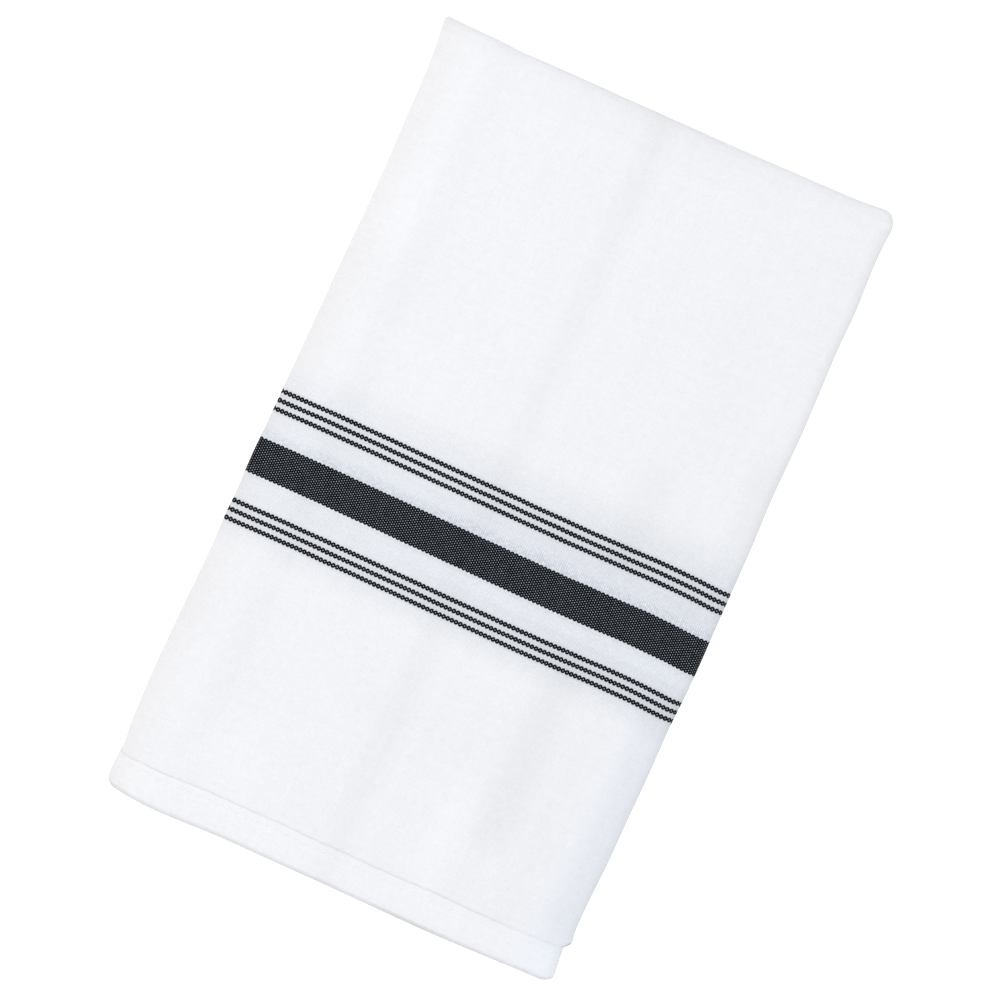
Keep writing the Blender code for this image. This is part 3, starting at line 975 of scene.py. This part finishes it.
def hem_shade_and_tone(n, w):
    """Painted shade in the needle holes along the seams, along a hem's inner edge and where the
    hem's end tucks in, and a lighter hem.
    """
    # painted shade line at a hem's inner edge, uneven along its length
    beads = cloud(n, w, per_metre=350, detail=1.0)
    line_shade_depth = n.times(n.ease(n.plus(w.u, -w.middle), *HEM_SHADE_LINE_FADES),
                         n.ease(beads, *MIDDLE_OF_NOISE, *HEM_SHADE_LINE_DEPTH))
    hole_and_line_shade = 0.0
    hem = 0.0
    for from_edge, along_seam in ((w.from_end, w.u), (w.from_side, w.v)):
        # painted shade in the needle holes
        step = n.math("FRACT", n.plus(n.times(along_seam, 1 / STITCH_PITCH), 0.5))
        hole = n.times(n.ease(n.apart(step, 0.5), *HOLE_ALONG),
                       n.ease(n.apart(from_edge, SEAM), *HOLE_ACROSS), HOLE_SHADE_DEPTH)
        line = n.ease(n.apart(from_edge, HEM_SHADE_LINE), *HEM_SHADE_LINE_ZONE)
        hole_and_line_shade = n.math("MAXIMUM", hole_and_line_shade, n.math("MAXIMUM", hole, n.times(line, line_shade_depth)))
        hem = n.math("MAXIMUM", hem, n.ease(from_edge, HEM_HEIGHT, HEM_HEIGHT - HEM_STEP))

    # Painted shadow where the hem's end tucks in under the side fold
    tuck_shadow = n.times(n.ease(n.apart(w.u, w.seen_to + TUCK_BEYOND), *TUCK_ACROSS),
                   n.ease(n.apart(w.from_end, TUCK_UP), *TUCK_ALONG),
                   n.ease(w.v, *VISIBLE_END, 0.0, TUCK_SHADOW_DEPTH))
    return n.times(n.less(1.0, hole_and_line_shade), n.less(1.0, tuck_shadow), n.plus(1.0, n.times(hem, HEM_TONE)))


def weave_relief(n, w):
    """Height of the threads, with their slubs and their lint."""
    crowns = n.times(n.math("COSINE", n.times(w.a_off, math.pi)),
                     n.math("COSINE", n.times(w.b_off, math.pi)))
    return n.plus(n.math("SQRT", crowns),
                  *[n.times(getattr(w, kind), share) for kind, share in RELIEF])


def sewing_thread(name):
    """White spun thread, with its twist."""
    n = Nodes(name, CLOTH_FINISH)
    place = n.add("ShaderNodeUVMap", uv_map="thread").outputs[0]
    along_thread, around, _ = n.add("ShaderNodeSeparateXYZ", {0: place}).outputs
    twist = n.math("SINE", n.plus(n.times(along_thread, 2 * math.pi / THREAD_TWIST),
                                  n.times(around, 2 * math.pi)))
    fuzz = n.noise(n.times(along_thread, 3000), n.times(around, 3.0))
    tone = n.plus(THREAD_TONE, n.times(twist, TWIST_TONE), n.swing(fuzz, FUZZ_TONE))
    n.feed(n.shader.inputs["Base Color"], n.scaled(THREAD_COTTON, tone))
    n.bump(n.plus(twist, fuzz), THREAD_BUMP, THREAD_DEPTH)
    return n.material


def on_cloth(grid, face, column, row):
    """Points on a face of the cloth, at fractional columns and rows."""
    c = np.clip(np.floor(column).astype(int), 0, grid.shape[1] - 2)
    r = np.clip(np.floor(row).astype(int), 0, grid.shape[2] - 2)
    right = (column - c)[:, None]
    above = (row - r)[:, None]
    points = grid[face]
    return ((points[c, r] * (1 - right) + points[c + 1, r] * right) * (1 - above)
            + (points[c, r + 1] * (1 - right) + points[c + 1, r + 1] * right) * above)


def seams(cloth):
    """The length of each of the four seams, and a function for the columns and rows along it."""
    columns = np.arange(len(cloth.across))
    rows = np.arange(len(cloth.up))
    half = len(cloth.up) // 2
    width = cloth.across[-1]
    steps = np.linalg.norm(np.diff(cloth.grid.mean(axis=0)[-1], axis=0), axis=1)
    run = np.concatenate([[0.0], np.cumsum(steps)])

    def end_seam(first):
        def place(along_seam, off):
            row = np.interp(SEAM + off, cloth.up[:half], rows[:half])
            return np.interp(along_seam, cloth.across, columns), row if first else rows[-1] - row
        return place

    def side_seam(first):
        def place(along_seam, off):
            from_left = SEAM + off if first else width - SEAM - off
            return np.interp(from_left, cloth.across, columns), np.interp(along_seam, run, rows)
        return place

    return [(width, end_seam(True)), (width, end_seam(False)),
            (run[-1], side_seam(True)), (run[-1], side_seam(False))]


def stitch_paths(cloth):
    """The middle line of every stitch of the four hems, on both faces, and its way up."""
    rng = np.random.default_rng(7)
    for length, place in seams(cloth):
        for face, way in ((0, 1), (1, -1)):
            for number in range(1, int(length / STITCH_PITCH)):
                reach = STITCH_LENGTH * (0.9 + 0.2 * rng.random())
                lean = way * STITCH_LEAN * (0.8 + 0.4 * rng.random())
                column, row = place((number + 0.5) * STITCH_PITCH + (STITCH_STEPS - 0.5) * reach,
                                    (STITCH_STEPS - 0.5) * lean)
                path = on_cloth(cloth.grid, face, column, row)
                normal = unit(path - on_cloth(cloth.grid, 1 - face, column, row))
                yield path + normal * STITCH_BOW[:, None], normal


def unit(vectors):
    """Vectors with a length of 1."""
    return vectors / np.linalg.norm(vectors, axis=1)[:, None]


def stitch_rings(path, normal):
    """Rings of points round a stitch, which is pressed flatter than it is wide."""
    forward = unit(np.gradient(path, axis=0))
    sideways = unit(np.cross(forward, normal))
    upwards = STITCH_PRESSED * np.cross(sideways, forward)
    turn = 2 * math.pi * np.arange(STITCH_SIDES)[None, :, None] / STITCH_SIDES
    around = np.cos(turn) * sideways[:, None] + np.sin(turn) * upwards[:, None]
    return path[:, None] + STITCH_GIRTH[:, None, None] * THREAD / 2 * around


def ring_faces(ring_count):
    """Faces of a tube of rings, with its two ends, as numbers of points."""
    points = np.arange(ring_count * STITCH_SIDES).reshape(ring_count, STITCH_SIDES)
    beside = np.roll(points, -1, axis=1)
    walls = np.stack([points[:-1], points[1:], beside[1:], beside[:-1]], axis=-1)
    return walls.reshape(-1, 4).tolist() + [points[0].tolist(), points[-1, ::-1].tolist()]


def make_stitches(name, cloth):
    """The sewing of the four hems, on both faces, as short arches of thread."""
    rings = np.array([stitch_rings(path, normal) for path, normal in stitch_paths(cloth)])
    rings[..., 2] = np.maximum(rings[..., 2], cloth.grid[..., 2].min() + STITCH_CLEAR)
    size = rings[0, ..., 0].size
    faces = [[start + point for point in face] for start in range(0, len(rings) * size, size)
             for face in ring_faces(len(STITCH_STEPS))]
    mesh = bpy.data.meshes.new(name)
    mesh.from_pydata(rings.reshape(-1, 3).tolist(), [], faces)
    corners = np.zeros(len(mesh.loops), dtype=np.int32)
    mesh.loops.foreach_get("vertex_index", corners)
    ring, side = np.divmod(corners % size, STITCH_SIDES)
    add_layer(mesh, "thread", np.stack([STITCH_STEPS[ring] * STITCH_LENGTH,
                                        side / STITCH_SIDES], axis=-1))
    mesh.shade_smooth()
    return in_scene(name, mesh)


def make_floor(name):
    """A plain white surface."""
    corners = [(-FLOOR_REACH, -FLOOR_REACH, 0), (FLOOR_REACH, -FLOOR_REACH, 0),
               (FLOOR_REACH, FLOOR_REACH, 0), (-FLOOR_REACH, FLOOR_REACH, 0)]
    mesh = bpy.data.meshes.new(name)
    mesh.from_pydata(corners, [], [(0, 1, 2, 3)])
    mesh.materials.append(Nodes(name, FLOOR_FINISH).material)
    floor = in_scene(name, mesh)
    floor.visible_diffuse = False
    return floor


def make_world():
    """A white dome, brighter overhead, with light from below its horizon as well."""
    world = bpy.data.worlds.new("studio")
    world.use_nodes = True
    tree = world.node_tree
    direction = tree.nodes.new("ShaderNodeTexCoord").outputs["Generated"]
    height = tree.nodes.new("ShaderNodeSeparateXYZ")
    tree.links.new(direction, height.inputs[0])
    total = tree.nodes.new("ShaderNodeMath")

    # Two ramps of light, added: from and to a height, and the light at each
    spans = ((0.0, 1.0, DOME_LOW, DOME_HIGH), (-0.02, 0.0, BOUNCE - DOME_LOW, 0.0))
    for socket, span in zip(total.inputs, spans):
        strength = tree.nodes.new("ShaderNodeMapRange")
        for key, value in zip(("From Min", "From Max", "To Min", "To Max"), span):
            strength.inputs[key].default_value = value
        tree.links.new(height.outputs[2], strength.inputs["Value"])
        tree.links.new(strength.outputs[0], socket)
    background = tree.nodes["Background"]
    background.inputs["Color"].default_value = (1, 1, 1, 1)
    tree.links.new(total.outputs[0], background.inputs["Strength"])
    bpy.context.scene.world = world


def make_lamp():
    """A weak, wide lamp beyond the side hems."""
    lamp = bpy.data.lights.new("soft_lamp", "AREA")
    lamp.shape = "DISK"
    lamp.size = LAMP_SIZE
    lamp.energy = LAMP_POWER
    source = in_scene("soft_lamp", lamp)
    source.location = LAMP_PLACE
    source.rotation_euler = (-source.location).to_track_quat("-Z", "Y").to_euler()


def make_camera(low, high):
    """Straight above, with the napkin turned clockwise in the frame."""
    camera = bpy.data.cameras.new("camera")
    camera.sensor_width = 36.0
    camera.lens = camera.sensor_width * CAMERA_HEIGHT / FRAME_WIDTH
    camera.clip_start = 0.05
    camera.clip_end = 100.0
    viewer = in_scene("camera", camera)
    centre = (low + high) / 2
    viewer.location = (centre.x - CAMERA_SHIFT, centre.y,
                       CAMERA_LEVEL * high.z + CAMERA_HEIGHT)
    viewer.rotation_euler = (0.0, 0.0, CAMERA_TURN)
    bpy.context.scene.camera = viewer


sheet, cloth = make_cloth("folded_cloth")
sheet.data.materials.append(woven_cotton("striped_cotton", cloth.seen))
stitches = make_stitches("hem_stitches", cloth)
stitches.data.materials.append(sewing_thread("sewing_thread"))

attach(sheet, "root")
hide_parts("napkin_cloth")
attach(stitches, "root")

floor = make_floor("table_top")
make_world()
make_lamp()
make_camera(*cad_box)
bpy.context.scene.view_settings.view_transform = "Standard"
bpy.context.scene.view_settings.look = "None"
